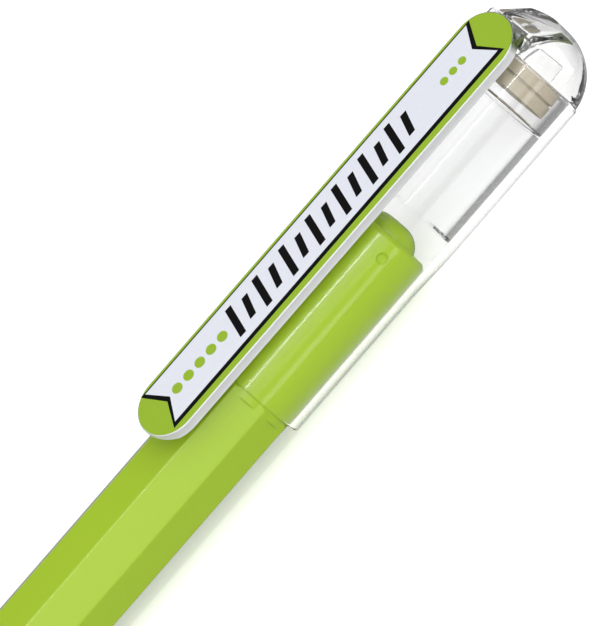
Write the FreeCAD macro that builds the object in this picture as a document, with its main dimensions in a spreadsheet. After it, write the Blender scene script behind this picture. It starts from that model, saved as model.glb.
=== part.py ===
# Capped gel pen with its cap posted on the rear end of the barrel, as a parametric document.
#
# Units are millimetres. The row frame has +X from the writing tip to the cap's crown, +Z up through the
# clip, and its origin under the middle of the posted pen, level with the lowest point of the cap.
#
# Two local frames keep every size positive:
#   pen frame: X = 0 at the front of the writing ball, X grows towards the rear plug
#   cap frame: X = 0 at the cap's mouth, X grows towards the crown
# Both have their X axis on the pen's own axis.

import FreeCAD, Part

import os
import re

import Sketcher

PARTS_FOLDER = "parts"
SHEET = "Dims"

# two places nearer than this, in mm, are the same place
SAME_PLACE = 1e-3

# alias, value in mm (or a count, or degrees where the name says so), what it is
DIMENSIONS = [
    ("axis_height", 6.13, "pen axis above the base plane: the cap's largest radius"),
    ("overall_length", 162.4, "writing ball to crown with the cap posted"),
    ("cap_station", 114.4, "pen frame X of the posted cap's mouth"),
    ("overcut", 1.0, "how far a cut runs on outside the solid"),
    # barrel
    ("barrel_flats", 9.55, "across the flats of the octagon"),
    ("barrel_edge_radius", 0.35, "rounding of the octagon's long edges"),
    ("barrel_front", 40.0, "front end of the octagon"),
    ("barrel_shoulder", 114.25, "rear end of the octagon, where the cap's mouth stops"),
    ("barrel_rear", 135.3, "rear rim of the barrel"),
    ("barrel_end_bevel", 0.9, "length of the conical bevel on each end of the octagon"),
    ("bevel_radius", 4.9, "radius at the foot of that bevel"),
    ("bevel_outer", 5.6, "radius that clears the octagon's corners"),
    ("post_radius", 5.0, "round rear section that the cap is posted on"),
    ("rim_radius", 0.5, "rounding of the rear rim"),
    ("barrel_bore", 4.0, "bore radius"),
    ("plug_bore", 3.35, "bore radius at the rear, where the plug goes in"),
    ("plug_bore_start", 127.0, "where the bore narrows"),
    ("plug_bore_taper", 1.0, "length over which it narrows"),
    ("dimple_floor_radius", 0.42, "floor of the shallow dimple in the side of the post"),
    ("dimple_depth", 0.25, "depth of the dimple"),
    ("dimple_slope_degrees", 40, "slope of the dimple's side, from its own axis"),
    ("dimple_station", 133.0, "pen frame X of the dimple"),
    ("dimple_angle_degrees", 54.4, "direction of the dimple, turned from the clip's"),
    # rear plug
    ("plug_radius", 3.3, "plug and its dome"),
    ("plug_start", 128.5, "inner end of the plug"),
    ("plug_flat", 1.0, "radius of the dome's flat crown"),
    ("plug_top", 137.0, "top of the plug's dome"),
    ("plug_arc", 2.45, "radius of the dome's rounded side"),
    ("plug_hollow", 2.3, "radius of the hollow inside the plug"),
    ("plug_floor", 134.6, "inner face of the dome"),
    # front section with the grip
    ("section_front", 13.0, "front face of the section"),
    ("section_neck", 15.6, "end of the slim neck that enters the inner cap"),
    ("section_shoulder", 17.2, "where the plain grip end_numbers"),
    ("section_swell", 35.0, "where the grip end_numbers to widen towards the barrel"),
    ("section_swell_end", 38.9, "where it is widest"),
    ("section_front_radius", 4.05, "radius at the front face"),
    ("section_neck_radius", 4.30, "radius at the end of the neck"),
    ("section_radius", 4.38, "radius of the plain grip"),
    ("section_rear_radius", 4.62, "radius beside the barrel"),
    ("section_end", 47.0, "rear end of the spigot inside the barrel"),
    ("section_spigot", 3.93, "spigot radius"),
    ("section_socket", 3.35, "bore radius for the nose cone"),
    ("section_socket_end", 18.6, "end of that bore"),
    ("refill_bore", 3.0, "bore radius round the refill"),
    ("section_gap", 0.1, "gap between the section and the barrel's front face"),
    ("groove_start", 19.4, "first grip groove"),
    ("groove_pitch", 1.1, "from one grip groove to the next"),
    ("groove_count", 9, "number of grip grooves"),
    ("groove_width", 0.5, "width of a grip groove"),
    ("groove_depth", 0.22, "depth of a grip groove"),
    # nose cone
    ("nose_tip", 2.6, "front edge of the nose cone"),
    ("nose_tip_radius", 1.6, "outer radius there"),
    ("nose_tip_bore", 1.25, "hole that the metal point passes through"),
    ("nose_lip", 3.4, "rear end of that hole"),
    ("nose_bore_taper", 1.0, "length over which it widens to the bore behind"),
    ("nose_bore", 2.1, "bore radius round the tip holder"),
    ("nose_bore_end", 13.9, "where the bore widens for the refill tube"),
    ("nose_spigot", 3.3, "spigot radius inside the section"),
    ("nose_end", 18.4, "rear end of the spigot"),
    ("nose_arc", 34.0, "radius of the nose cone's slightly bowed side"),
    # refill
    ("refill_radius", 2.9, "outer radius of the refill tube"),
    ("refill_inner", 2.5, "inner radius of the refill tube"),
    ("refill_front", 15.2, "front end of the refill tube"),
    ("refill_rear", 122.0, "rear end of the refill tube"),
    ("holder_front", 4.4, "front end of the tip holder"),
    ("holder_front_radius", 1.7, "radius there"),
    ("holder_taper", 1.0, "length over which it widens to the stem"),
    ("holder_radius", 1.95, "radius of the holder's stem"),
    ("holder_collar", 14.1, "front of the holder's collar"),
    ("holder_end", 19.0, "rear end of the holder's spigot"),
    ("holder_channel", 0.8, "ink channel radius"),
    ("ink_end", 88.0, "rear end of the ink column"),
    ("grease_end", 93.0, "rear end of the follower grease"),
    # metal point, ball and spring
    ("ball_radius", 0.5, "writing ball"),
    ("point_front", 0.26, "front edge of the rolled lip"),
    ("point_lip_bore", 0.485, "opening inside the rolled lip"),
    ("point_lip_radius", 0.58, "outer radius of the lip"),
    ("point_lip_end", 0.30, "end of the lip's straight edge"),
    ("point_socket", 0.52, "socket radius round the ball"),
    ("point_socket_start", 0.40, "where the socket reaches its full radius"),
    ("point_socket_end", 0.85, "foot of the socket's straight wall"),
    ("point_throat", 0.25, "ink throat radius"),
    ("point_throat_start", 1.15, "front of the throat"),
    ("point_throat_end", 1.6, "rear of the throat"),
    ("point_cone_end", 2.9, "end of the point's cone"),
    ("point_radius", 1.15, "radius of the point's body"),
    ("point_rear", 8.0, "rear end of the point"),
    ("point_bore", 0.62, "bore radius behind the throat"),
    ("spring_radius", 0.42, "mean coil radius of the ball spring"),
    ("spring_wire", 0.07, "wire radius of the ball spring"),
    ("spring_start", 1.8, "front end of the ball spring"),
    ("spring_pitch", 0.4, "pitch of the ball spring"),
    ("spring_length", 4.4, "length of the ball spring"),
    # cap
    ("cap_length", 48.0, "mouth to crown"),
    ("cap_split", 42.57, "joint between the tube and the crown"),
    ("cap_mouth_radius", 5.9, "outer radius of the lower tube"),
    ("cap_radius", 6.13, "outer radius of the upper tube"),
    ("cap_taper_start", 18.0, "where the tube end_numbers to widen"),
    ("cap_taper_end", 23.0, "where the tube reaches its full radius"),
    ("cap_bore", 5.08, "bore radius of the tube"),
    ("cap_edge_radius", 0.25, "rounding of the tube's outer edges"),
    ("inner_cap_radius", 5.06, "outer radius of the inner cap and of the crown's spigot"),
    ("inner_cap_bore", 4.43, "bore radius of the inner cap"),
    ("inner_cap_start", 24.2, "mouth of the inner cap"),
    ("inner_cap_end", 37.9, "top of the inner cap"),
    ("inner_cap_lead", 0.35, "lead-in chamfer at the inner cap's mouth"),
    ("crown_spigot_start", 38.1, "lower end of the crown's spigot"),
    ("crown_base_radius", 5.95, "radius of the crown at the joint"),
    ("crown_recess", 2.4, "across corners radius of the recess under the dome"),
    ("crown_recess_top", 44.4, "top of that recess"),
    ("seal_radius", 3.9, "rubber seal"),
    ("seal_face", 39.6, "face that the writing ball rests on when the pen is capped"),
    ("seal_groove", 41.05, "middle of the groove round the seal"),
    ("seal_groove_width", 0.3, "width of that groove"),
    ("seal_groove_depth", 0.25, "depth of that groove"),
    # crown's arm, which carries the clip; heights are measured from the pen's axis
    ("arm_half_width", 2.9, "half of the arm's width"),
    ("arm_slope_start", 2.4, "height at which the arm's slope leaves the dome's top"),
    ("arm_slope_degrees", 34.1, "angle between that slope and the cap's end plane"),
    ("arm_face", 6.75, "arm's flat face under the clip"),
    ("arm_crown_margin", 0.3, "how far the crowning cut runs on beside the arm"),
    ("arm_edge_radius", 0.45, "rounding of the arm's side edges"),
    # clip
    ("clip_underside", 7.05, "height of the clip's underside"),
    ("clip_face", 8.25, "height of the clip's outer face"),
    ("clip_half_width", 3.68, "half of the clip's width, and the radius of its ends"),
    ("clip_free_end", 9.75, "how far the clip reaches past the mouth"),
    ("clip_top_end", 44.76, "cap frame X of the clip's top end"),
    ("clip_edge_radius", 0.18, "rounding of the clip's outer edge"),
    ("clip_lead", 0.6, "height of the bevel under the clip's free end"),
    ("clip_lead_length", 1.8, "length of that bevel"),
    ("heel_top", 7.5, "top of the clip's heel, which carries on the arm's slope"),
    ("hinge_station", 43.85, "cap frame X of the clip's root"),
    ("hinge_height", 5.75, "height of the clip's root"),
    ("hinge_radius", 0.75, "radius of the clip's root bead"),
    ("hinge_socket", 0.81, "radius of the socket for that bead"),
    ("hinge_neck", 0.9, "thickness of the neck above the bead"),
    ("hinge_root_depth", 0.2, "how far the neck runs into the clip"),
    ("hinge_slot", 1.35, "width of the slot for that neck"),
    ("hinge_half_width", 1.9, "half of the bead's width"),
    ("hinge_side_gap", 0.15, "gap beside the bead"),
    # printed label
    ("label_thickness", 0.12, "label in the clip's recess"),
    ("label_half_width", 3.55, "half of the label's width, and the radius of its ends"),
    ("label_depth", 0.04, "how far the label's face lies under the clip's rim"),
    ("label_gap", 0.02, "gap round the label"),
]


def make_sheet(doc):
    """Puts every driving dimension in a cell of its own, with its alias."""
    sheet = doc.addObject("Spreadsheet::Sheet", SHEET)
    for row, (alias, value, note) in enumerate(DIMENSIONS, start=1):
        cell = "A%d" % row
        sheet.set(cell, str(value))
        sheet.setAlias(cell, alias)
        sheet.set("B%d" % row, note)
    doc.recompute()
    return sheet


def cells(expression):
    """An expression with each alias written as a reference to the sheet."""
    names = {alias for alias, _, _ in DIMENSIONS}

    def reference(match):
        word = match.group(0)
        return "%s.%s" % (SHEET, word) if word in names else word

    return re.sub("[a-z_]+", reference, expression)


def bind(target, prop, expression):
    target.setExpression(prop, cells(expression))


def place(piece, station, height="0"):
    """Moves a sub-part from its local frame into the row frame."""
    bind(piece, "Placement.Base.x", station + " - overall_length / 2")
    bind(piece, "Placement.Base.z", "axis_height + " + height)


def new_body(doc, label, frame, height="0"):
    """An empty body in the pen frame or the cap frame."""
    body = doc.addObject("PartDesign::Body", label)
    body.Label = label
    stations = {"pen": "0", "cap": "cap_station"}
    place(body, stations[frame], height)
    return body


def origin_feature(body, role):
    return next(feature for feature in body.Origin.OriginFeatures if feature.Role == role)


def new_sketch(body, name, plane):
    sketch = body.newObject("Sketcher::SketchObject", name)
    sketch.AttachmentSupport = [(origin_feature(body, plane), "")]
    sketch.MapMode = "FlatFace"
    return sketch


def arc_between(start, end, radius, left):
    """An arc of the given radius from start to end, bowed to the left or the right of the chord."""
    chord = end - start
    side = FreeCAD.Vector(-chord.y, chord.x, 0).normalize()
    if not left:
        side = side * -1
    half = chord.Length / 2
    rise = radius - (radius ** 2 - half ** 2) ** 0.5
    middle = (start + end) * 0.5 + side * rise
    return Part.Arc(start, middle, end)


def outline(body, name, plane, corners):
    """A closed sketch through corners. Each corner is (first, second) or, where an arc runs from it to
    the next corner, (first, second, radius, side), all expressions on the sheet."""
    sketch = new_sketch(body, name, plane)
    points = []
    for corner in corners:
        first = body.evalExpression(cells(corner[0]))
        second = body.evalExpression(cells(corner[1]))
        points.append(FreeCAD.Vector(float(first), float(second), 0))

    edges = []
    # for each edge, the sketcher's numbers for its first and its last point
    end_numbers = []
    for index, corner in enumerate(corners):
        start = points[index]
        end = points[(index + 1) % len(points)]
        if len(corner) == 2:
            edges.append(sketch.addGeometry(Part.LineSegment(start, end), False))
            end_numbers.append((1, 2))
            continue
        radius = float(body.evalExpression(cells(corner[2])))
        arc = arc_between(start, end, radius, corner[3] == "left")
        edges.append(sketch.addGeometry(arc, False))
        forwards = sketch.getPoint(edges[-1], 1).distanceToPoint(start) < SAME_PLACE
        end_numbers.append((1, 2) if forwards else (2, 1))

    for index in range(len(corners)):
        following = (index + 1) % len(corners)
        ends = (edges[index], end_numbers[index][1], edges[following], end_numbers[following][0])
        sketch.addConstraint(Sketcher.Constraint("Coincident", *ends))
    for index, corner in enumerate(corners):
        for kind, expression, value in (
            ("DistanceX", corner[0], points[index].x),
            ("DistanceY", corner[1], points[index].y),
        ):
            constraint = Sketcher.Constraint(kind, -1, 1, edges[index], end_numbers[index][0], value)
            number = sketch.addConstraint(constraint)
            sketch.setExpression("Constraints[%d]" % number, cells(expression))
        if len(corner) == 4:
            radius = float(body.evalExpression(cells(corner[2])))
            number = sketch.addConstraint(Sketcher.Constraint("Radius", edges[index], radius))
            sketch.setExpression("Constraints[%d]" % number, cells(corner[2]))
    return sketch


def turn(body, name, corners, feature="PartDesign::Revolution"):
    """Revolves a half section, given as (X, radius) corners, about the pen's axis."""
    sketch = outline(body, name + "_section", "XZ_Plane", corners)
    revolve = body.newObject(feature, name)
    revolve.Profile = sketch
    revolve.ReferenceAxis = (sketch, ["H_Axis"])
    revolve.Angle = 360
    return revolve


def cut_ring(body, name, corners):
    """Cuts a revolved half section out of the body."""
    return turn(body, name, corners, "PartDesign::Groove")


def round_edges(body, base, name, radius, wanted):
    """Fillets the edges of a feature that wanted() picks by their shape."""
    body.Document.recompute()
    names = []
    for number, edge in enumerate(base.Shape.Edges, start=1):
        if wanted(edge):
            names.append("Edge%d" % number)
    if not names:
        raise ValueError("no edge to round for " + name)
    fillet = body.newObject("PartDesign::Fillet", name)
    fillet.Base = (base, names)
    bind(fillet, "Radius", radius)
    return fillet


def is_circle_at(edge, station, radius):
    """Whether an edge is a full circle round the pen's axis at that X and radius."""
    if not isinstance(edge.Curve, Part.Circle):
        return False
    near_station = abs(edge.Curve.Center.x - station) < SAME_PLACE
    return near_station and abs(edge.Curve.Radius - radius) < SAME_PLACE


# ---------------------------------------------------------------- barrel


def octagon_corners():
    """Corners of the octagon in its own plane, with a flat facing straight up and down."""
    flat = "barrel_flats / 2"
    half_side = "barrel_flats / 2 * tan(22.5 deg)"
    near = [(flat, half_side), (half_side, flat)]
    corners = []
    for sign_first, sign_second, order in (("", "", 1), ("-", "", -1), ("-", "-", 1), ("", "-", -1)):
        for first, second in near[::order]:
            corners.append(("%s1 * %s" % (sign_first, first), "%s1 * %s" % (sign_second, second)))
    return corners


def make_barrel(doc):
    """Octagonal tube with a round post at the rear, bored through."""
    body = new_body(doc, "barrel", "pen")

    sketch = outline(body, "octagon", "YZ_Plane", octagon_corners())
    bind(sketch, "AttachmentOffset.Base.z", "barrel_front")
    tube = body.newObject("PartDesign::Pad", "octagon_tube")
    tube.Profile = sketch
    bind(tube, "Length", "barrel_shoulder - barrel_front")

    octagon_length = body.evalExpression(cells("barrel_shoulder - barrel_front"))

    def long_edge(edge):
        return edge.Length > octagon_length / 2

    rounded = round_edges(body, tube, "rounded_long_edges", "barrel_edge_radius", long_edge)

    cut_ring(body, "front_bevel", [
        ("barrel_front", "bevel_radius"),
        ("barrel_front", "bevel_outer"),
        ("barrel_front + barrel_end_bevel", "bevel_outer"),
    ])
    cut_ring(body, "rear_bevel", [
        ("barrel_shoulder", "bevel_radius"),
        ("barrel_shoulder - barrel_end_bevel", "bevel_outer"),
        ("barrel_shoulder", "bevel_outer"),
    ])
    post = turn(body, "post", [
        ("barrel_shoulder - barrel_end_bevel", "0"),
        ("barrel_rear", "0"),
        ("barrel_rear", "post_radius - rim_radius"),
        ("barrel_rear - rim_radius", "post_radius"),
        ("barrel_shoulder", "post_radius"),
        ("barrel_shoulder", "bevel_radius"),
        ("barrel_shoulder - barrel_end_bevel", "bevel_radius"),
    ])
    doc.recompute()

    def rim_edge(edge):
        station = body.evalExpression(cells("barrel_rear - rim_radius"))
        inner = body.evalExpression(cells("post_radius - rim_radius"))
        outer = body.evalExpression(cells("post_radius"))
        rear = body.evalExpression(cells("barrel_rear"))
        return is_circle_at(edge, station, outer) or is_circle_at(edge, rear, inner)

    round_edges(body, post, "rounded_rim", "rim_radius / 2", rim_edge)

    cut_ring(body, "bore", [
        ("barrel_front - overcut", "0"),
        ("barrel_front - overcut", "barrel_bore"),
        ("plug_bore_start", "barrel_bore"),
        ("plug_bore_start + plug_bore_taper", "plug_bore"),
        ("barrel_rear + overcut", "plug_bore"),
        ("barrel_rear + overcut", "0"),
    ])
    cut_dimple(body)
    return body


def cut_dimple(body):
    """A shallow round dimple with sloping sides in the side of the post."""
    sketch = new_sketch(body, "dimple_floor", "XY_Plane")
    centre = FreeCAD.Vector(float(body.evalExpression(cells("dimple_station"))), 0, 0)
    radius = float(body.evalExpression(cells("dimple_floor_radius")))
    circle = sketch.addGeometry(Part.Circle(centre, FreeCAD.Vector(0, 0, 1), radius), False)
    number = sketch.addConstraint(Sketcher.Constraint("Radius", circle, radius))
    sketch.setExpression("Constraints[%d]" % number, cells("dimple_floor_radius"))
    number = sketch.addConstraint(Sketcher.Constraint("DistanceX", -1, 1, circle, 3, centre.x))
    sketch.setExpression("Constraints[%d]" % number, cells("dimple_station"))
    sketch.addConstraint(Sketcher.Constraint("PointOnObject", circle, 3, -1))

    # the sketch lies on the dimple's floor, turned round the pen's axis
    sketch.AttachmentOffset = FreeCAD.Placement(
        FreeCAD.Vector(0, 0, 0), FreeCAD.Rotation(FreeCAD.Vector(1, 0, 0), 0)
    )
    floor = "(post_radius - dimple_depth)"
    bind(sketch, "AttachmentOffset.Rotation.Angle", "dimple_angle_degrees")
    bind(sketch, "AttachmentOffset.Base.y", "-1 * %s * sin(dimple_angle_degrees * 1 deg)" % floor)
    bind(sketch, "AttachmentOffset.Base.z", "%s * cos(dimple_angle_degrees * 1 deg)" % floor)

    dimple = body.newObject("PartDesign::Pocket", "dimple")
    dimple.Profile = sketch
    dimple.Reversed = True
    bind(dimple, "Length", "dimple_depth + overcut")
    bind(dimple, "TaperAngle", "dimple_slope_degrees")
    return dimple


def make_end_plug(doc):
    """Hollow plug with a low dome, pressed into the rear of the barrel."""
    body = new_body(doc, "end_plug", "pen")
    turn(body, "plug", [
        ("plug_start", "plug_hollow"),
        ("plug_start", "plug_radius"),
        ("barrel_rear", "plug_radius", "plug_arc", "left"),
        ("plug_top", "plug_flat"),
        ("plug_top", "0"),
        ("plug_floor", "0"),
        ("plug_floor", "plug_hollow"),
    ])
    return body


# ---------------------------------------------------------------- front section


def make_grip_section(doc):
    """Round section with ring grooves to grip, and a spigot that goes into the barrel."""
    body = new_body(doc, "grip_section", "pen")
    turn(body, "section", [
        ("section_front", "section_socket"),
        ("section_front", "section_front_radius"),
        ("section_neck", "section_neck_radius"),
        ("section_shoulder", "section_radius"),
        ("section_swell", "section_radius"),
        ("section_swell_end", "section_rear_radius"),
        ("barrel_front - section_gap", "section_rear_radius"),
        ("barrel_front - section_gap", "section_spigot"),
        ("section_end", "section_spigot"),
        ("section_end", "refill_bore"),
        ("section_socket_end", "refill_bore"),
        ("section_socket_end", "section_socket"),
    ])
    groove = cut_ring(body, "grip_groove", [
        ("groove_start", "section_radius - groove_depth"),
        ("groove_start", "section_radius + overcut"),
        ("groove_start + groove_width", "section_radius + overcut"),
        ("groove_start + groove_width", "section_radius - groove_depth"),
    ])
    doc.recompute()
    pattern = body.newObject("PartDesign::LinearPattern", "grip_grooves")
    pattern.Originals = [groove]
    pattern.Direction = (groove.Profile[0], ["H_Axis"])
    bind(pattern, "Length", "groove_pitch * (groove_count - 1)")
    pattern.Occurrences = int(body.evalExpression(cells("groove_count")))
    body.Tip = pattern
    return body


def make_nose_cone(doc):
    """Slightly bowed cone that closes the section round the metal point."""
    body = new_body(doc, "nose_cone", "pen")
    turn(body, "nose", [
        ("nose_tip", "nose_tip_bore"),
        ("nose_tip", "nose_tip_radius", "nose_arc", "left"),
        ("section_front", "section_front_radius"),
        ("section_front", "nose_spigot"),
        ("nose_end", "nose_spigot"),
        ("nose_end", "refill_bore"),
        ("nose_bore_end", "refill_bore"),
        ("nose_bore_end", "nose_bore"),
        ("nose_lip + nose_bore_taper", "nose_bore"),
        ("nose_lip", "nose_tip_bore"),
    ])
    return body


# ---------------------------------------------------------------- refill


def make_refill_tube(doc):
    body = new_body(doc, "refill_tube", "pen")
    turn(body, "tube", [
        ("refill_front", "refill_inner"),
        ("refill_front", "refill_radius"),
        ("refill_rear", "refill_radius"),
        ("refill_rear", "refill_inner"),
    ])
    return body


def make_column(doc, label, start, end):
    """A plain column of ink or grease that fills the refill tube."""
    body = new_body(doc, label, "pen")
    turn(body, label + "_column", [
        (start, "0"),
        (start, "refill_inner"),
        (end, "refill_inner"),
        (end, "0"),
    ])
    return body


def make_tip_holder(doc):
    """Moulded holder: stem round the metal point, collar, and spigot in the refill tube."""
    body = new_body(doc, "tip_holder", "pen")
    turn(body, "holder", [
        ("holder_front", "point_radius"),
        ("holder_front", "holder_front_radius"),
        ("holder_front + holder_taper", "holder_radius"),
        ("holder_collar", "holder_radius"),
        ("holder_collar", "refill_radius"),
        ("refill_front", "refill_radius"),
        ("refill_front", "refill_inner"),
        ("holder_end", "refill_inner"),
        ("holder_end", "holder_channel"),
        ("point_rear", "holder_channel"),
        ("point_rear", "point_radius"),
    ])
    return body


def make_tip_point(doc):
    """Turned metal point: rolled lip, ball socket, ink throat and spring bore."""
    body = new_body(doc, "tip_point", "pen")
    turn(body, "point", [
        ("point_front", "point_lip_bore"),
        ("point_front", "point_lip_radius"),
        ("point_cone_end", "point_radius"),
        ("point_rear", "point_radius"),
        ("point_rear", "point_bore"),
        ("point_throat_end", "point_bore"),
        ("point_throat_end", "point_throat"),
        ("point_throat_start", "point_throat"),
        ("point_socket_end", "point_socket"),
        ("point_socket_start", "point_socket"),
        ("point_lip_end", "point_lip_bore"),
    ])
    return body


def make_tip_ball(doc):
    ball = doc.addObject("Part::Sphere", "tip_ball")
    ball.Label = "tip_ball"
    bind(ball, "Radius", "ball_radius")
    place(ball, "ball_radius")
    return ball


def make_ball_spring(doc):
    """Fine coil spring behind the ball."""
    path = doc.addObject("Part::Helix", "spring_path")
    bind(path, "Radius", "spring_radius")
    bind(path, "Pitch", "spring_pitch")
    bind(path, "Height", "spring_length")
    wire_section = doc.addObject("Part::Circle", "spring_wire_section")
    bind(wire_section, "Radius", "spring_wire")
    bind(wire_section, "Placement.Base.x", "spring_radius")
    wire_section.Placement.Rotation = FreeCAD.Rotation(FreeCAD.Vector(1, 0, 0), 90)
    spring = doc.addObject("Part::Sweep", "ball_spring")
    spring.Label = "ball_spring"
    spring.Sections = [wire_section]
    spring.Spine = (path, ["Edge1"])
    spring.Solid = True
    spring.Frenet = True
    spring.Placement.Rotation = FreeCAD.Rotation(FreeCAD.Vector(0, 1, 0), 90)
    place(spring, "spring_start")
    return spring


# ---------------------------------------------------------------- cap


def make_cap_tube(doc):
    """Clear tube, a little wider above the taper."""
    body = new_body(doc, "cap_tube", "cap")
    tube = turn(body, "tube", [
        ("0", "cap_bore"),
        ("0", "cap_mouth_radius"),
        ("cap_taper_start", "cap_mouth_radius"),
        ("cap_taper_end", "cap_radius"),
        ("cap_split", "cap_radius"),
        ("cap_split", "cap_bore"),
    ])
    doc.recompute()

    def outer_end(edge):
        mouth = body.evalExpression(cells("cap_mouth_radius"))
        split = body.evalExpression(cells("cap_split"))
        top = body.evalExpression(cells("cap_radius"))
        return is_circle_at(edge, 0, mouth) or is_circle_at(edge, split, top)

    round_edges(body, tube, "rounded_ends", "cap_edge_radius", outer_end)
    return body


def make_inner_cap(doc):
    """Clear sleeve inside the tube that the nose enters when the pen is capped."""
    body = new_body(doc, "inner_cap", "cap")
    turn(body, "sleeve", [
        ("inner_cap_start", "inner_cap_bore + inner_cap_lead"),
        ("inner_cap_start", "inner_cap_radius"),
        ("inner_cap_end", "inner_cap_radius"),
        ("inner_cap_end", "inner_cap_bore"),
        ("inner_cap_start + inner_cap_lead", "inner_cap_bore"),
    ])
    return body


def make_tip_seal(doc):
    """Rubber disc with one groove round it, bonded under the crown."""
    body = new_body(doc, "tip_seal", "cap")
    turn(body, "seal", [
        ("seal_face", "0"),
        ("seal_face", "seal_radius"),
        ("seal_groove - seal_groove_width / 2", "seal_radius"),
        ("seal_groove - seal_groove_width / 2", "seal_radius - seal_groove_depth"),
        ("seal_groove + seal_groove_width / 2", "seal_radius - seal_groove_depth"),
        ("seal_groove + seal_groove_width / 2", "seal_radius"),
        ("cap_split", "seal_radius"),
        ("cap_split", "0"),
    ])
    return body


# radius of the crown's dome, from its width and its height above the joint
DOME_RADIUS = "((crown_base_radius ^ 2 + (cap_length - cap_split) ^ 2) / (2 * (cap_length - cap_split)))"


def slope_at(height):
    """Cap frame X of the arm's slope at a height above the axis."""
    return "cap_length - (%s - arm_slope_start) * tan(arm_slope_degrees * 1 deg)" % height


def make_cap_crown(doc):
    """Solid domed crown with a spigot in the tube, a recess, and the arm that carries the clip."""
    body = new_body(doc, "cap_crown", "cap")
    sketch = outline(body, "arm_side", "XZ_Plane", [
        ("cap_split", "0"),
        ("cap_length", "0"),
        ("cap_length", "arm_slope_start"),
        (slope_at("arm_face"), "arm_face"),
        ("cap_split", "arm_face"),
    ])
    arm = body.newObject("PartDesign::Pad", "arm")
    arm.Profile = sketch
    arm.Midplane = True
    bind(arm, "Length", "arm_half_width * 2")

    # the arm's top carries on the dome's curve from side to side
    reach = "(arm_half_width + arm_crown_margin)"
    edge = "cap_length - %s + sqrt(%s ^ 2 - %s ^ 2)" % (DOME_RADIUS, DOME_RADIUS, reach)
    sketch = outline(body, "beyond_dome", "XY_Plane", [
        (edge, "-1 * " + reach, DOME_RADIUS, "right"),
        (edge, reach),
        ("cap_length + overcut", reach),
        ("cap_length + overcut", "-1 * " + reach),
    ])
    crowned = body.newObject("PartDesign::Pocket", "crowned_top")
    crowned.Profile = sketch
    crowned.Reversed = True
    bind(crowned, "Length", "arm_face + overcut")
    doc.recompute()

    def upper_side_edge(edge):
        half = body.evalExpression(cells("arm_half_width"))
        split = body.evalExpression(cells("cap_split"))
        on_side = all(abs(abs(vertex.Y) - half) < SAME_PLACE for vertex in edge.Vertexes)
        above_joint = edge.CenterOfMass.x > split + SAME_PLACE
        return on_side and above_joint and edge.CenterOfMass.z > SAME_PLACE

    round_edges(body, crowned, "rounded_arm", "arm_edge_radius", upper_side_edge)
    turn(body, "dome", [
        ("cap_split", "0"),
        ("cap_split", "inner_cap_bore"),
        ("crown_spigot_start", "inner_cap_bore"),
        ("crown_spigot_start", "inner_cap_radius"),
        ("cap_split", "inner_cap_radius"),
        ("cap_split", "crown_base_radius", DOME_RADIUS, "left"),
        ("cap_length", "0"),
    ])
    cut_recess(body)
    cut_hinge_socket(body)
    return body


def cut_recess(body):
    """Six-sided recess under the dome, closed by the seal."""
    radius = "crown_recess"
    inradius = "crown_recess * cos(30 deg)"
    sketch = outline(body, "recess_outline", "YZ_Plane", [
        (radius, "0"),
        (radius + " / 2", inradius),
        ("-1 * " + radius + " / 2", inradius),
        ("-1 * " + radius, "0"),
        ("-1 * " + radius + " / 2", "-1 * " + inradius),
        (radius + " / 2", "-1 * " + inradius),
    ])
    bind(sketch, "AttachmentOffset.Base.z", "cap_split")
    recess = body.newObject("PartDesign::Pocket", "recess")
    recess.Profile = sketch
    recess.Reversed = True
    bind(recess, "Length", "crown_recess_top - cap_split")
    return recess


def bead_and_neck(body, name, radius, width, top):
    """A sketch of a bead and its neck, seen from the side."""
    sketch = new_sketch(body, name, "XZ_Plane")
    value = {key: float(body.evalExpression(cells(text))) for key, text in {
        "station": "hinge_station",
        "height": "hinge_height",
        "radius": radius,
        "half": width + " / 2",
        "top": top,
    }.items()}
    lift = (value["radius"] ** 2 - value["half"] ** 2) ** 0.5
    low_left = FreeCAD.Vector(value["station"] - value["half"], value["height"] + lift, 0)
    low_right = FreeCAD.Vector(value["station"] + value["half"], value["height"] + lift, 0)
    high_left = FreeCAD.Vector(low_left.x, value["top"], 0)
    high_right = FreeCAD.Vector(low_right.x, value["top"], 0)
    bottom = FreeCAD.Vector(value["station"], value["height"] - value["radius"], 0)
    bead = sketch.addGeometry(Part.Arc(low_left, bottom, low_right), False)
    right = sketch.addGeometry(Part.LineSegment(low_right, high_right), False)
    across = sketch.addGeometry(Part.LineSegment(high_right, high_left), False)
    left = sketch.addGeometry(Part.LineSegment(high_left, low_left), False)
    bead_start = 1 if sketch.getPoint(bead, 1).distanceToPoint(low_left) < SAME_PLACE else 2
    bead_end = 3 - bead_start
    sketch.addConstraint([
        Sketcher.Constraint("Coincident", bead, bead_end, right, 1),
        Sketcher.Constraint("Coincident", right, 2, across, 1),
        Sketcher.Constraint("Coincident", across, 2, left, 1),
        Sketcher.Constraint("Coincident", left, 2, bead, bead_start),
        Sketcher.Constraint("Vertical", right),
        Sketcher.Constraint("Horizontal", across),
        Sketcher.Constraint("Vertical", left),
    ])
    for constraint, expression in (
        (Sketcher.Constraint("DistanceX", -1, 1, bead, 3, value["station"]), "hinge_station"),
        (Sketcher.Constraint("DistanceY", -1, 1, bead, 3, value["height"]), "hinge_height"),
        (Sketcher.Constraint("Radius", bead, value["radius"]), radius),
        (Sketcher.Constraint("DistanceY", -1, 1, across, 1, value["top"]), top),
        (Sketcher.Constraint("DistanceX", -1, 1, right, 1, low_right.x), "hinge_station + " + width + " / 2"),
        (Sketcher.Constraint("DistanceX", -1, 1, left, 1, low_left.x), "hinge_station - " + width + " / 2"),
    ):
        number = sketch.addConstraint(constraint)
        sketch.setExpression("Constraints[%d]" % number, cells(expression))
    return sketch


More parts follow.
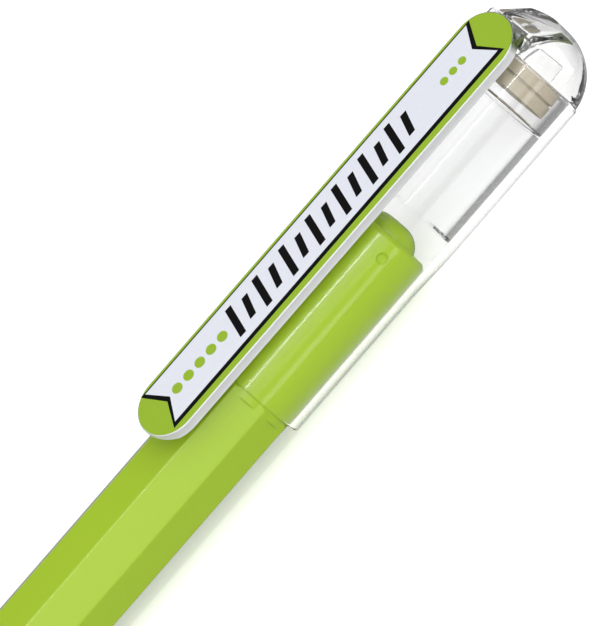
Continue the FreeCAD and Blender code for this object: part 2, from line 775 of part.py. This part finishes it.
def cut_hinge_socket(body):
    """Socket in the arm for the clip's root bead, open towards the clip."""
    sketch = bead_and_neck(body, "socket_side", "hinge_socket", "hinge_slot", "arm_face + overcut")
    socket = body.newObject("PartDesign::Pocket", "hinge_socket_cut")
    socket.Profile = sketch
    socket.Midplane = True
    bind(socket, "Length", "(hinge_half_width + hinge_side_gap) * 2")
    return socket


# ---------------------------------------------------------------- clip


def rounded_bar(body, name, half_width, start, end):
    """A sketch of a bar with two half-round ends, in plan."""
    sketch = new_sketch(body, name, "XY_Plane")
    half = float(body.evalExpression(cells(half_width)))
    first = float(body.evalExpression(cells(start))) + half
    last = float(body.evalExpression(cells(end))) - half
    lower = Part.LineSegment(FreeCAD.Vector(first, -half, 0), FreeCAD.Vector(last, -half, 0))
    upper = Part.LineSegment(FreeCAD.Vector(last, half, 0), FreeCAD.Vector(first, half, 0))
    far_round = Part.Arc(lower.EndPoint, FreeCAD.Vector(last + half, 0, 0), upper.StartPoint)
    near_round = Part.Arc(upper.EndPoint, FreeCAD.Vector(first - half, 0, 0), lower.StartPoint)
    low, far, high, near = sketch.addGeometry([lower, far_round, upper, near_round], False)
    sketch.addConstraint([
        Sketcher.Constraint("Tangent", low, 2, far, 1),
        Sketcher.Constraint("Tangent", far, 2, high, 1),
        Sketcher.Constraint("Tangent", high, 2, near, 1),
        Sketcher.Constraint("Tangent", near, 2, low, 1),
        Sketcher.Constraint("Horizontal", low),
        Sketcher.Constraint("PointOnObject", far, 3, -1),
    ])
    for constraint, expression in (
        (Sketcher.Constraint("Radius", far, half), half_width),
        (Sketcher.Constraint("DistanceX", -1, 1, far, 3, last), end + " - " + half_width),
        (Sketcher.Constraint("DistanceX", -1, 1, near, 3, first), start + " + " + half_width),
    ):
        number = sketch.addConstraint(constraint)
        sketch.setExpression("Constraints[%d]" % number, cells(expression))
    return sketch


def make_clip(doc):
    """Clear flat clip with round ends, a recess for the label and a bead at its root."""
    body = new_body(doc, "clip", "cap")
    sketch = rounded_bar(body, "clip_plan", "clip_half_width", "-1 * clip_free_end", "clip_top_end")
    bind(sketch, "AttachmentOffset.Base.z", "clip_underside")
    plate = body.newObject("PartDesign::Pad", "plate")
    plate.Profile = sketch
    bind(plate, "Length", "clip_face - clip_underside")
    doc.recompute()

    face_height = body.evalExpression(cells("clip_face"))

    def outer_edge(edge):
        return all(abs(vertex.Z - face_height) < SAME_PLACE for vertex in edge.Vertexes)

    round_edges(body, plate, "rounded_face", "clip_edge_radius", outer_edge)

    sketch = outline(body, "heel_side", "XZ_Plane", [
        ("cap_split", "clip_underside"),
        (slope_at("clip_underside"), "clip_underside"),
        (slope_at("heel_top"), "heel_top"),
        ("cap_split", "heel_top"),
    ])
    heel = body.newObject("PartDesign::Pad", "heel")
    heel.Profile = sketch
    heel.Midplane = True
    bind(heel, "Length", "arm_half_width * 2")

    sketch = outline(body, "lead_in", "XZ_Plane", [
        ("-1 * clip_free_end - overcut", "clip_underside - overcut"),
        ("-1 * clip_free_end - overcut", "clip_underside + clip_lead"),
        ("-1 * clip_free_end", "clip_underside + clip_lead"),
        ("-1 * clip_free_end + clip_lead_length", "clip_underside"),
        ("-1 * clip_free_end + clip_lead_length", "clip_underside - overcut"),
    ])
    lead = body.newObject("PartDesign::Pocket", "lead_bevel")
    lead.Profile = sketch
    lead.Midplane = True
    bind(lead, "Length", "(clip_half_width + overcut) * 2")

    root_top = "clip_underside + hinge_root_depth"
    sketch = bead_and_neck(body, "root_side", "hinge_radius", "hinge_neck", root_top)
    root = body.newObject("PartDesign::Pad", "root_bead")
    root.Profile = sketch
    root.Midplane = True
    bind(root, "Length", "hinge_half_width * 2")

    sketch = rounded_bar(
        body,
        "recess_plan",
        "(label_half_width + label_gap)",
        "-1 * clip_free_end + clip_half_width - label_half_width - label_gap",
        "clip_top_end - clip_half_width + label_half_width + label_gap",
    )
    bind(sketch, "AttachmentOffset.Base.z", "clip_face - label_depth - label_thickness")
    recess = body.newObject("PartDesign::Pocket", "label_recess")
    recess.Profile = sketch
    recess.Reversed = True
    bind(recess, "Length", "label_thickness + label_depth + overcut")
    return body


def make_clip_label(doc):
    """Thin printed strip in the clip's recess."""
    body = new_body(doc, "clip_label", "cap")
    sketch = rounded_bar(
        body,
        "label_plan",
        "label_half_width",
        "-1 * clip_free_end + clip_half_width - label_half_width",
        "clip_top_end - clip_half_width + label_half_width",
    )
    bind(sketch, "AttachmentOffset.Base.z", "clip_face - label_depth - label_thickness")
    strip = body.newObject("PartDesign::Pad", "strip")
    strip.Profile = sketch
    bind(strip, "Length", "label_thickness")
    return body


def check(doc, pieces):
    """Stops if any object failed or any sub-part has no valid shape."""
    for item in doc.Objects:
        bad = {"Invalid", "Error"} & set(item.State)
        if bad:
            raise RuntimeError("%s is %s" % (item.Label, ", ".join(sorted(bad))))
    for piece in pieces:
        if piece.Shape.isNull() or not piece.Shape.isValid():
            raise RuntimeError(piece.Label + " has no valid shape")


def main():
    doc = FreeCAD.newDocument("gel_pen")
    make_sheet(doc)
    pieces = [
        make_barrel(doc),
        make_end_plug(doc),
        make_grip_section(doc),
        make_nose_cone(doc),
        make_refill_tube(doc),
        make_column(doc, "gel_ink", "holder_end", "ink_end"),
        make_column(doc, "follower_grease", "ink_end", "grease_end"),
        make_tip_holder(doc),
        make_tip_point(doc),
        make_tip_ball(doc),
        make_ball_spring(doc),
        make_cap_tube(doc),
        make_cap_crown(doc),
        make_inner_cap(doc),
        make_tip_seal(doc),
        make_clip(doc),
        make_clip_label(doc),
    ]
    doc.recompute()
    check(doc, pieces)
    os.makedirs(PARTS_FOLDER, exist_ok=True)
    for piece in pieces:
        piece.Shape.exportStep(os.path.join(PARTS_FOLDER, piece.Label + ".step"))
        box = piece.Shape.BoundBox
        print("%-16s %9.2f mm3  x %7.2f..%7.2f  y %6.2f..%6.2f  z %6.2f..%6.2f" % (
            piece.Label, piece.Shape.Volume, box.XMin, box.XMax, box.YMin, box.YMax, box.ZMin, box.ZMax
        ))


main()
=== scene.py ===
import math

import bpy
from mathutils import Matrix, Vector


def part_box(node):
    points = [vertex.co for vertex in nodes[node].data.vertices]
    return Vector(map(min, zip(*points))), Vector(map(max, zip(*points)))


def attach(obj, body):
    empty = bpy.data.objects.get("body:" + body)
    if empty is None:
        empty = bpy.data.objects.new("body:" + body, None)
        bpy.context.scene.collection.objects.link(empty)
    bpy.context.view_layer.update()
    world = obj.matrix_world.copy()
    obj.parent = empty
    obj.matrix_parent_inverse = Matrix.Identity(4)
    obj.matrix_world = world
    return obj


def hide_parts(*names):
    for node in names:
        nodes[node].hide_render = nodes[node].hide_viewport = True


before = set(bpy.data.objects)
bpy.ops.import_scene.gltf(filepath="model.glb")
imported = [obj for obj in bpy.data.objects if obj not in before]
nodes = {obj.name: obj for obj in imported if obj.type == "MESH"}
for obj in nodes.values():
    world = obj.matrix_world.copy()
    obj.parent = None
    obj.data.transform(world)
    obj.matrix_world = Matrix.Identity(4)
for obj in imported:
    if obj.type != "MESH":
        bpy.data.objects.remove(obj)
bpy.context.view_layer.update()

MM = 0.001


# ---------------------------------------------------------------- node helpers


def new_material(name):
    material = bpy.data.materials.new(name)
    material.use_nodes = True
    tree = material.node_tree
    shader = tree.nodes["Principled BSDF"]
    return material, tree, shader


def add(tree, kind, **values):
    """A node of a kind, with the values of its settings and input sockets."""
    node = tree.nodes.new(kind)
    for name, value in values.items():
        if name in node.inputs:
            node.inputs[name].default_value = value
        else:
            setattr(node, name, value)
    return node


def link(tree, source, target):
    tree.links.new(source, target)


def noise(tree, scale, detail=2.0, stretch=(1, 1, 1)):
    """Noise in the piece's own coordinates; scale is in features per metre."""
    place = add(tree, "ShaderNodeTexCoord")
    mapping = add(tree, "ShaderNodeMapping")
    mapping.inputs["Scale"].default_value = stretch
    texture = add(tree, "ShaderNodeTexNoise", Scale=scale, Detail=detail)
    link(tree, place.outputs["Object"], mapping.inputs["Vector"])
    link(tree, mapping.outputs["Vector"], texture.inputs["Vector"])
    return texture.outputs["Fac"]


def remap(tree, value, low, high, start=0.0, end=1.0, interpolation="LINEAR"):
    """A value from start to end spread between low and high, and held there beyond them."""
    node = add(tree, "ShaderNodeMapRange", interpolation_type=interpolation)
    node.inputs["From Min"].default_value = start
    node.inputs["From Max"].default_value = end
    node.inputs["To Min"].default_value = low
    node.inputs["To Max"].default_value = high
    link(tree, value, node.inputs["Value"])
    return node.outputs["Result"]


def negative(tree, value):
    node = add(tree, "ShaderNodeMath", operation="MULTIPLY")
    node.inputs[1].default_value = -1.0
    link(tree, value, node.inputs[0])
    return node.outputs["Value"]


def blend_colours(tree, factor, first, second):
    node = add(tree, "ShaderNodeMix", data_type="RGBA")
    colours = [socket for socket in node.inputs if socket.type == "RGBA"]
    colours[0].default_value = (*first, 1)
    colours[1].default_value = (*second, 1)
    link(tree, factor, node.inputs["Factor"])
    return next(socket for socket in node.outputs if socket.type == "RGBA")


def bump(tree, height, strength, distance, normal=None):
    node = add(tree, "ShaderNodeBump", Strength=strength, Distance=distance)
    link(tree, height, node.inputs["Height"])
    if normal is not None:
        link(tree, normal, node.inputs["Normal"])
    return node.outputs["Normal"]


def choose_surface(tree, surface, choices):
    """Shows the surface, or the last choice whose factor is true. Each choice is a factor and its surface."""
    for factor, chosen in choices:
        mix = add(tree, "ShaderNodeMixShader")
        link(tree, factor, mix.inputs["Fac"])
        link(tree, surface, mix.inputs[1])
        link(tree, chosen, mix.inputs[2])
        surface = mix.outputs["Shader"]
    link(tree, surface, tree.nodes["Material Output"].inputs["Surface"])


def srgb(red, green, blue):
    """A linear colour from 0 to 255 screen values."""
    def linear(value):
        value = value / 255
        return value / 12.92 if value <= 0.04045 else ((value + 0.055) / 1.055) ** 2.4
    return linear(red), linear(green), linear(blue)


def darken(colour, share):
    return tuple(channel * share for channel in colour)


def grey(level):
    return level, level, level


# ---------------------------------------------------------------- materials

CLEAR_PLASTIC_IOR = 1.49
EASED_EDGE = 0.22 * MM
CLEARING_LENGTH = 0.8 * MM


def moulded_green(name, light, dark, roughness):
    """Opaque plastic with a polished skin, and the faint cloudiness and flow of a moulding."""
    material, tree, shader = new_material(name)
    cloud = remap(tree, noise(tree, 180, 3, (0.25, 1, 1)), 0, 1)
    link(tree, blend_colours(tree, cloud, dark, light), shader.inputs["Base Color"])
    link(tree, remap(tree, noise(tree, 900, 2), roughness - 0.04, roughness + 0.04), shader.inputs["Roughness"])
    shader.inputs["IOR"].default_value = 1.33
    shader.inputs["Coat Weight"].default_value = 1.0
    shader.inputs["Coat Roughness"].default_value = 0.04
    shader.inputs["Coat IOR"].default_value = 1.45
    soft_edges = add(tree, "ShaderNodeBevel", samples=6, Radius=EASED_EDGE).outputs["Normal"]
    link(tree, soft_edges, shader.inputs["Coat Normal"])
    grain = bump(tree, noise(tree, 2500, 2), 0.04, 0.02 * MM, soft_edges)
    link(tree, grain, shader.inputs["Normal"])
    return material


def let_light_through(tree, shader, tint):
    """Lamps and soft light shine straight through the shader, so that what is inside a clear piece is lit."""
    see_through = add(tree, "ShaderNodeBsdfTransparent")
    see_through.inputs["Color"].default_value = (*tint, 1)
    path = add(tree, "ShaderNodeLightPath")
    kinds = ("Is Shadow Ray", "Is Diffuse Ray")
    choose_surface(tree, shader.outputs["BSDF"], [(path.outputs[kind], see_through.outputs["BSDF"]) for kind in kinds])


def clear_plastic(name, tint, roughness=0.02, ior=CLEAR_PLASTIC_IOR, gloss=1.0, painted_rim_shade=None, starts=(0.5, 1),
                  waviness=0.03):
    """Clear moulded plastic, slightly uneven. Where it is seen side-on, from starts[0] to starts[1], it turns to
    the painted rim shade: a painted dark rim in place of the dark surroundings seen through and in the plastic."""
    material, tree, shader = new_material(name)
    shader.inputs["Base Color"].default_value = (*tint, 1)
    shader.inputs["Transmission Weight"].default_value = 1.0
    shader.inputs["Specular Tint"].default_value = (*grey(gloss), 1)
    shader.inputs["IOR"].default_value = ior
    link(tree, remap(tree, noise(tree, 400, 2), roughness * 0.5, roughness * 1.5), shader.inputs["Roughness"])
    link(tree, bump(tree, noise(tree, 220, 1), waviness, 0.05 * MM), shader.inputs["Normal"])
    if painted_rim_shade is not None:
        facing = add(tree, "ShaderNodeLayerWeight")
        grazing = remap(tree, facing.outputs["Facing"], 0, 1, *starts)
        # painted shade: the plastic's colour darkens where it is seen side-on, drawing a dark rim
        link(tree, blend_colours(tree, grazing, tint, painted_rim_shade), shader.inputs["Base Color"])
    let_light_through(tree, shader, tint)
    return material


def painted_pale_plastic(name, colour, clearness, roughness, clear_from):
    """Clear plastic drawn partly diffuse and pale: painted light that stands in for the light it carries along
    it. From a place along the pen on, it is fully clear."""
    material, tree, shader = new_material(name)
    link(tree, blend_colours(tree, noise(tree, 300, 2), darken(colour, 0.96), colour), shader.inputs["Base Color"])
    place = add(tree, "ShaderNodeTexCoord")
    split = add(tree, "ShaderNodeSeparateXYZ")
    link(tree, place.outputs["Object"], split.inputs["Vector"])
    clearing = remap(tree, split.outputs["X"], clearness, 1.0, clear_from, clear_from + CLEARING_LENGTH)
    link(tree, clearing, shader.inputs["Transmission Weight"])
    shader.inputs["IOR"].default_value = CLEAR_PLASTIC_IOR
    link(tree, remap(tree, noise(tree, 700, 2), roughness * 0.7, roughness * 1.3), shader.inputs["Roughness"])
    let_light_through(tree, shader, colour)
    return material


def soft_rubber(name, light, dark):
    material, tree, shader = new_material(name)
    link(tree, blend_colours(tree, noise(tree, 1500, 3), dark, light), shader.inputs["Base Color"])
    link(tree, remap(tree, noise(tree, 2200, 2), 0.5, 0.7), shader.inputs["Roughness"])
    link(tree, bump(tree, noise(tree, 4000, 2), 0.2, 0.03 * MM), shader.inputs["Normal"])
    return material


def plain_plastic(name, colour, roughness):
    material, tree, shader = new_material(name)
    link(tree, blend_colours(tree, noise(tree, 800, 2), darken(colour, 0.93), colour), shader.inputs["Base Color"])
    link(tree, remap(tree, noise(tree, 1800, 2), roughness - 0.05, roughness + 0.05), shader.inputs["Roughness"])
    link(tree, bump(tree, noise(tree, 3000, 2), 0.08, 0.02 * MM), shader.inputs["Normal"])
    return material


def turned_metal(name, colour):
    """Turned metal with fine rings round the pen's axis."""
    material, tree, shader = new_material(name)
    rings = noise(tree, 9000, 1, (1, 0.02, 0.02))
    shader.inputs["Metallic"].default_value = 1.0
    link(tree, blend_colours(tree, rings, darken(colour, 0.8), colour), shader.inputs["Base Color"])
    link(tree, remap(tree, rings, 0.18, 0.34), shader.inputs["Roughness"])
    return material


def printed(name, colour, roughness=0.35, gloss=0.3):
    """Printing ink on a plastic film, slightly mottled."""
    material, tree, shader = new_material(name)
    link(tree, blend_colours(tree, noise(tree, 2500, 3), darken(colour, 0.93), colour), shader.inputs["Base Color"])
    link(tree, remap(tree, noise(tree, 1800, 2), roughness - 0.05, roughness + 0.05), shader.inputs["Roughness"])
    shader.inputs["Specular IOR Level"].default_value = gloss
    return material


barrel_green = moulded_green("barrel green", srgb(158, 190, 36), srgb(153, 185, 30), roughness=0.30)
section_green = moulded_green("section green", srgb(155, 187, 36), srgb(149, 181, 30), roughness=0.34)

# the clip is clear where it overhangs the crown; elsewhere its pale colour is painted light
CLIP_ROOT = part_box("clip")[1].x - 2.6 * MM
clip_clear = painted_pale_plastic("clip plastic", srgb(240, 240, 243), clearness=0.35, roughness=0.16, clear_from=CLIP_ROOT)

# the tube and the sleeve bend light less than solid plastic would, which keeps their thin walls pale
# the crown and the sleeve get a painted dark rim where they are seen side-on
crown_clear = clear_plastic("clear plastic", (0.993, 0.994, 0.996), painted_rim_shade=(0.07, 0.07, 0.075), starts=(0.27, 0.88))
sleeve_clear = clear_plastic(
    "clear sleeve", (0.996, 0.997, 0.998), ior=1.25, painted_rim_shade=(0.02, 0.02, 0.022), starts=(0.62, 0.96), waviness=0.004,
)
tube_clear = clear_plastic("clear tube", (0.994, 0.994, 0.998), ior=1.22, gloss=0.35, waviness=0.004)
refill_clear = clear_plastic("refill tube", grey(0.95), roughness=0.1)
grease = clear_plastic("follower grease", (0.95, 0.93, 0.85), roughness=0.1)

seal_tan = soft_rubber("seal rubber", srgb(193, 182, 158), srgb(168, 157, 134))
gel = plain_plastic("gel ink", srgb(120, 160, 40), roughness=0.3)
holder_white = plain_plastic("tip holder", srgb(225, 225, 222), roughness=0.45)
point_metal = turned_metal("nickel silver", srgb(214, 208, 196))
ball_metal = turned_metal("ball", srgb(190, 190, 192))
label_green = printed("label green", srgb(146, 179, 44))
label_white = printed("label white", srgb(221, 224, 233))
label_black = printed("label black", srgb(8, 8, 8), roughness=0.5, gloss=0.08)

CAD_MATERIALS = {
    "barrel": barrel_green,
    "end_plug": barrel_green,
    "grip_section": section_green,
    "nose_cone": section_green,
    "refill_tube": refill_clear,
    "gel_ink": gel,
    "follower_grease": grease,
    "tip_holder": holder_white,
    "tip_point": point_metal,
    "tip_ball": ball_metal,
    "ball_spring": point_metal,
    "cap_tube": tube_clear,
    "cap_crown": crown_clear,
    "inner_cap": sleeve_clear,
    "tip_seal": seal_tan,
    "clip": clip_clear,
    "clip_label": label_green,
}


def dress(piece, material):
    piece.data.materials.clear()
    piece.data.materials.append(material)


for node_name, node_material in CAD_MATERIALS.items():
    dress(nodes[node_name], node_material)


# ---------------------------------------------------------------- soft-edged crown

CROWN_VOXEL = 0.11 * MM
CROWN_SMOOTHING = 0.5
CROWN_SMOOTHING_PASSES = 12


def make_crown():
    """The crown with the softened edges of a polished moulding, made from the CAD node's own shape."""
    crown = nodes["cap_crown"].copy()
    crown.data = nodes["cap_crown"].data.copy()
    crown.name = "crown_moulding"
    bpy.context.scene.collection.objects.link(crown)
    remesh = crown.modifiers.new("remesh", "REMESH")
    remesh.mode = "VOXEL"
    remesh.voxel_size = CROWN_VOXEL
    remesh.use_smooth_shade = True
    soften = crown.modifiers.new("soften", "SMOOTH")
    soften.factor = CROWN_SMOOTHING
    soften.iterations = CROWN_SMOOTHING_PASSES
    bpy.context.view_layer.update()
    evaluated = crown.evaluated_get(bpy.context.evaluated_depsgraph_get())
    mesh = bpy.data.meshes.new_from_object(evaluated)
    crown.modifiers.clear()
    crown.data = mesh
    dress(crown, crown_clear)
    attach(crown, "cap")
    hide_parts("cap_crown")


# ---------------------------------------------------------------- printed label

PRINT_THICKNESS = 0.006 * MM
PANEL_LOW_SIDE = -2.30 * MM
PANEL_HIGH_SIDE = 3.15 * MM
PANEL_NOTCH = 1.5 * MM
BORDER_HEAVY = 0.50 * MM
BORDER_LIGHT = 0.16 * MM
BORDER_END = 0.55 * MM
label_low, label_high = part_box("clip_label")
PANEL_START = label_low.x + 2.6 * MM
PANEL_END = label_high.x - 3.0 * MM

BAR_COUNT = 14
BAR_START = PANEL_START + 11.4 * MM
BAR_PITCH = 2.0 * MM
BAR_LENGTHS = (3.9 * MM, 2.7 * MM)
BAR_WIDTH = 0.85 * MM
BAR_SLANT = 0.9 * MM


def print_plate(name, outlines, layer, material):
    """Thin closed plates of ink on the label, each from an outline of (x, y) points that runs anticlockwise;
    layer 0 is the lowest."""
    low = label_high.z + layer * PRINT_THICKNESS
    points = []
    faces = []
    for outline in outlines:
        count = len(outline)
        bottom = range(len(points), len(points) + count)
        top = range(bottom.stop, bottom.stop + count)
        points += [(x, y, low) for x, y in outline]
        points += [(x, y, low + PRINT_THICKNESS) for x, y in outline]
        faces += [tuple(reversed(bottom)), tuple(top)]
        for corner in range(count):
            following = (corner + 1) % count
            faces.append((bottom[corner], bottom[following], top[following], top[corner]))
    mesh = bpy.data.meshes.new(name)
    mesh.from_pydata(points, [], faces)
    plate = bpy.data.objects.new(name, mesh)
    bpy.context.scene.collection.objects.link(plate)
    dress(plate, material)
    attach(plate, "clip")


def ribbon(grow_low, grow_high, grow_end):
    """Outline of a plain ribbon with a notch in each end, grown outwards on each side."""
    start = PANEL_START - grow_end
    end = PANEL_END + grow_end
    low = PANEL_LOW_SIDE - grow_low
    high = PANEL_HIGH_SIDE + grow_high
    middle = (low + high) / 2
    return [
        (start, low),
        (end, low),
        (end - PANEL_NOTCH, middle),
        (end, high),
        (start, high),
        (start + PANEL_NOTCH, middle),
    ]


def slanted_bar(x, y, length):
    """Outline of a bar across the label that leans along it."""
    lean = BAR_SLANT / 2
    return [
        (x - BAR_WIDTH / 2 - lean, y - length / 2),
        (x + BAR_WIDTH / 2 - lean, y - length / 2),
        (x + BAR_WIDTH / 2 + lean, y + length / 2),
        (x - BAR_WIDTH / 2 + lean, y + length / 2),
    ]


def disc(x, y, radius, sides=40):
    corners = [2 * math.pi * side / sides for side in range(sides)]
    return [(x + radius * math.cos(angle), y + radius * math.sin(angle)) for angle in corners]


def dot_row(start, pitch, count, radius):
    """Outlines of a row of dots along the middle of the label."""
    middle = (PANEL_LOW_SIDE + PANEL_HIGH_SIDE) / 2
    return [disc(start + number * pitch, middle, radius) for number in range(count)]


def make_label_print():
    """A generic design: an outlined ribbon with a row of slanted bars and two rows of dots."""
    print_plate("label_border", [ribbon(BORDER_HEAVY, BORDER_LIGHT, BORDER_END)], 0, label_black)
    print_plate("label_panel", [ribbon(0, 0, 0)], 1, label_white)

    middle = (PANEL_LOW_SIDE + PANEL_HIGH_SIDE) / 2
    bars = [
        slanted_bar(BAR_START + number * BAR_PITCH, middle, BAR_LENGTHS[number % 2]) for number in range(BAR_COUNT)
    ]
    print_plate("label_bars", bars, 2, label_black)

    dots = dot_row(PANEL_START + 2.6 * MM, pitch=1.7 * MM, count=5, radius=0.62 * MM)
    dots += dot_row(PANEL_END - 3.0 * MM, pitch=-1.35 * MM, count=3, radius=0.48 * MM)
    print_plate("label_dots", dots, 2, label_green)


make_crown()
make_label_print()


# ---------------------------------------------------------------- floor, light and camera

FLOOR_HALF_SIZE = 6.0
FLOOR_DROP = 0.02 * MM
FLOOR_SHADES = (grey(0.85), grey(0.87))
FLOOR_GLOW = 0.33
FLOOR_BOUNCED_SHADE = 0.66
FLOOR_MIRRORED_SHADE = 0.34


def plain_diffuse(tree, shade):
    node = add(tree, "ShaderNodeBsdfDiffuse")
    node.inputs["Color"].default_value = (*grey(shade), 1)
    return node.outputs["BSDF"]


def make_floor():
    """A white floor that gives back less bounced and less mirrored light than it shows the camera."""
    size = FLOOR_HALF_SIZE
    mesh = bpy.data.meshes.new("floor")
    mesh.from_pydata([(-size, -size, 0), (size, -size, 0), (size, size, 0), (-size, size, 0)], [], [(0, 1, 2, 3)])
    floor = bpy.data.objects.new("floor", mesh)
    floor.location.z = -FLOOR_DROP
    bpy.context.scene.collection.objects.link(floor)
    material, tree, shader = new_material("floor")
    link(tree, blend_colours(tree, noise(tree, 40, 2), *FLOOR_SHADES), shader.inputs["Base Color"])
    shader.inputs["Roughness"].default_value = 0.9
    shader.inputs["Specular IOR Level"].default_value = 0.1
    shader.inputs["Emission Color"].default_value = (1, 1, 1, 1)
    shader.inputs["Emission Strength"].default_value = FLOOR_GLOW
    path = add(tree, "ShaderNodeLightPath")
    # true when the light came through one clear wall only, which is 1 to 3 surfaces: 2, give or take 1.5
    one_wall = add(tree, "ShaderNodeMath", operation="COMPARE")
    link(tree, path.outputs["Transmission Depth"], one_wall.inputs[0])
    one_wall.inputs[1].default_value = 2.0
    one_wall.inputs[2].default_value = 1.5
    lit = shader.outputs["BSDF"]
    choose_surface(tree, lit, [
        (path.outputs["Glossy Depth"], plain_diffuse(tree, FLOOR_MIRRORED_SHADE)),
        (one_wall.outputs["Value"], lit),
        (path.outputs["Is Diffuse Ray"], plain_diffuse(tree, FLOOR_BOUNCED_SHADE)),
    ])
    mesh.materials.append(material)


# How bright the studio is, going over the pen from the camera's horizon (0 degrees) through overhead (90)
# to the far horizon (180). The dark stretches are what the clear and the flat faces reflect to the camera.
STUDIO = (
    (0, 0.02), (3, 0.05), (7, 2.0), (16, 2.0), (21, 0.35), (28, 0.45), (36, 1.25), (48, 1.25), (56, 1.8),
    (84, 1.8), (92, 0.9), (121, 0.6), (127, 0.30), (146, 0.25), (154, 1.1), (168, 1.1), (174, 0.05), (180, 0.02),
)

# how squarely a direction must point past the writing end before the studio darkens, and how dark it is there
END_FADE = (0.60, 0.90)
END_BRIGHTNESS = 0.03


def make_world():
    """Soft light that changes from side to side over the pen, and is dark beyond the writing end."""
    world = bpy.data.worlds.new("studio")
    bpy.context.scene.world = world
    world.use_nodes = True
    tree = world.node_tree
    background = tree.nodes["Background"]
    place = add(tree, "ShaderNodeTexCoord")
    split = add(tree, "ShaderNodeSeparateXYZ")
    link(tree, place.outputs["Generated"], split.inputs["Vector"])
    angle = add(tree, "ShaderNodeMath", operation="ARCTAN2")
    link(tree, split.outputs["Z"], angle.inputs[0])
    link(tree, negative(tree, split.outputs["Y"]), angle.inputs[1])
    share = add(tree, "ShaderNodeMath", operation="DIVIDE")
    share.inputs[1].default_value = math.pi
    link(tree, angle.outputs["Value"], share.inputs[0])
    ramp = add(tree, "ShaderNodeValToRGB")
    elements = ramp.color_ramp.elements
    while len(elements) < len(STUDIO):
        elements.new(1.0)
    for element, (degrees, brightness) in zip(elements, STUDIO):
        element.position = degrees / 180
        element.color = (*grey(brightness), 1)
    link(tree, share.outputs["Value"], ramp.inputs["Fac"])
    link(tree, ramp.outputs["Color"], background.inputs["Color"])
    past_writing_end = negative(tree, split.outputs["X"])
    fade = remap(tree, past_writing_end, 1.0, END_BRIGHTNESS, *END_FADE, interpolation="SMOOTHSTEP")
    link(tree, fade, background.inputs["Strength"])


SOFTBOX_CENTRE = Vector((0.04, 0, 6 * MM))


def softbox(name, elevation, distance, width, length, radiance):
    """A long lamp beside the pen, at an elevation above the horizon on the camera's side, facing the pen."""
    angle = math.radians(elevation)
    place = SOFTBOX_CENTRE + Vector((0, -math.cos(angle), math.sin(angle))) * distance
    light = bpy.data.lights.new(name, "AREA")
    light.shape = "RECTANGLE"
    light.size = length
    light.size_y = width
    light.energy = radiance * math.pi * width * length
    lamp = bpy.data.objects.new(name, light)
    towards = (place - SOFTBOX_CENTRE).normalized()
    along = Vector((1, 0, 0))
    turn = Matrix((along, towards.cross(along), towards)).transposed().to_4x4()
    lamp.matrix_world = Matrix.Translation(place) @ turn
    bpy.context.scene.collection.objects.link(lamp)


VIEW_ELEVATION = math.radians(47.5)
PEN_TILT = math.radians(49.0)
FRAME_HEIGHT = 62.6 * MM
LENS = 400.0
SENSOR = 36.0
CENTRE_ALONG = 39.07 * MM
CENTRE_ACROSS = 1.87 * MM


def make_camera():
    """A long lens that looks square at the pen's axis, with the pen tilted in the picture."""
    low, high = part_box("cap_tube")
    axis_height = (low.z + high.z) / 2
    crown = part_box("cap_crown")[1].x
    along = Vector((1, 0, 0))
    across = Vector((0, math.sin(VIEW_ELEVATION), math.cos(VIEW_ELEVATION)))
    towards = along.cross(across)
    right = along * math.cos(PEN_TILT) - across * math.sin(PEN_TILT)
    up = along * math.sin(PEN_TILT) + across * math.cos(PEN_TILT)
    target = Vector((crown - CENTRE_ALONG, 0, axis_height)) + across * CENTRE_ACROSS
    data = bpy.data.cameras.new("camera")
    data.lens = LENS
    data.sensor_width = SENSOR
    data.clip_start = 0.01
    camera = bpy.data.objects.new("camera", data)
    turn = Matrix((right, up, towards)).transposed().to_4x4()
    camera.matrix_world = Matrix.Translation(target + towards * (FRAME_HEIGHT * LENS / SENSOR)) @ turn
    bpy.context.scene.collection.objects.link(camera)
    bpy.context.scene.camera = camera


def set_look():
    scene = bpy.context.scene
    scene.view_settings.view_transform = "Standard"
    scene.cycles.use_denoising = True
    scene.cycles.max_bounces = 24
    scene.cycles.transmission_bounces = 24
    scene.cycles.transparent_max_bounces = 24
    scene.cycles.glossy_bounces = 8
    scene.cycles.caustics_reflective = False
    scene.cycles.caustics_refractive = False


make_floor()
make_world()
softbox("thin strip", elevation=64.3, distance=0.8, width=0.024, length=1.0, radiance=16.0)
make_camera()
set_look()
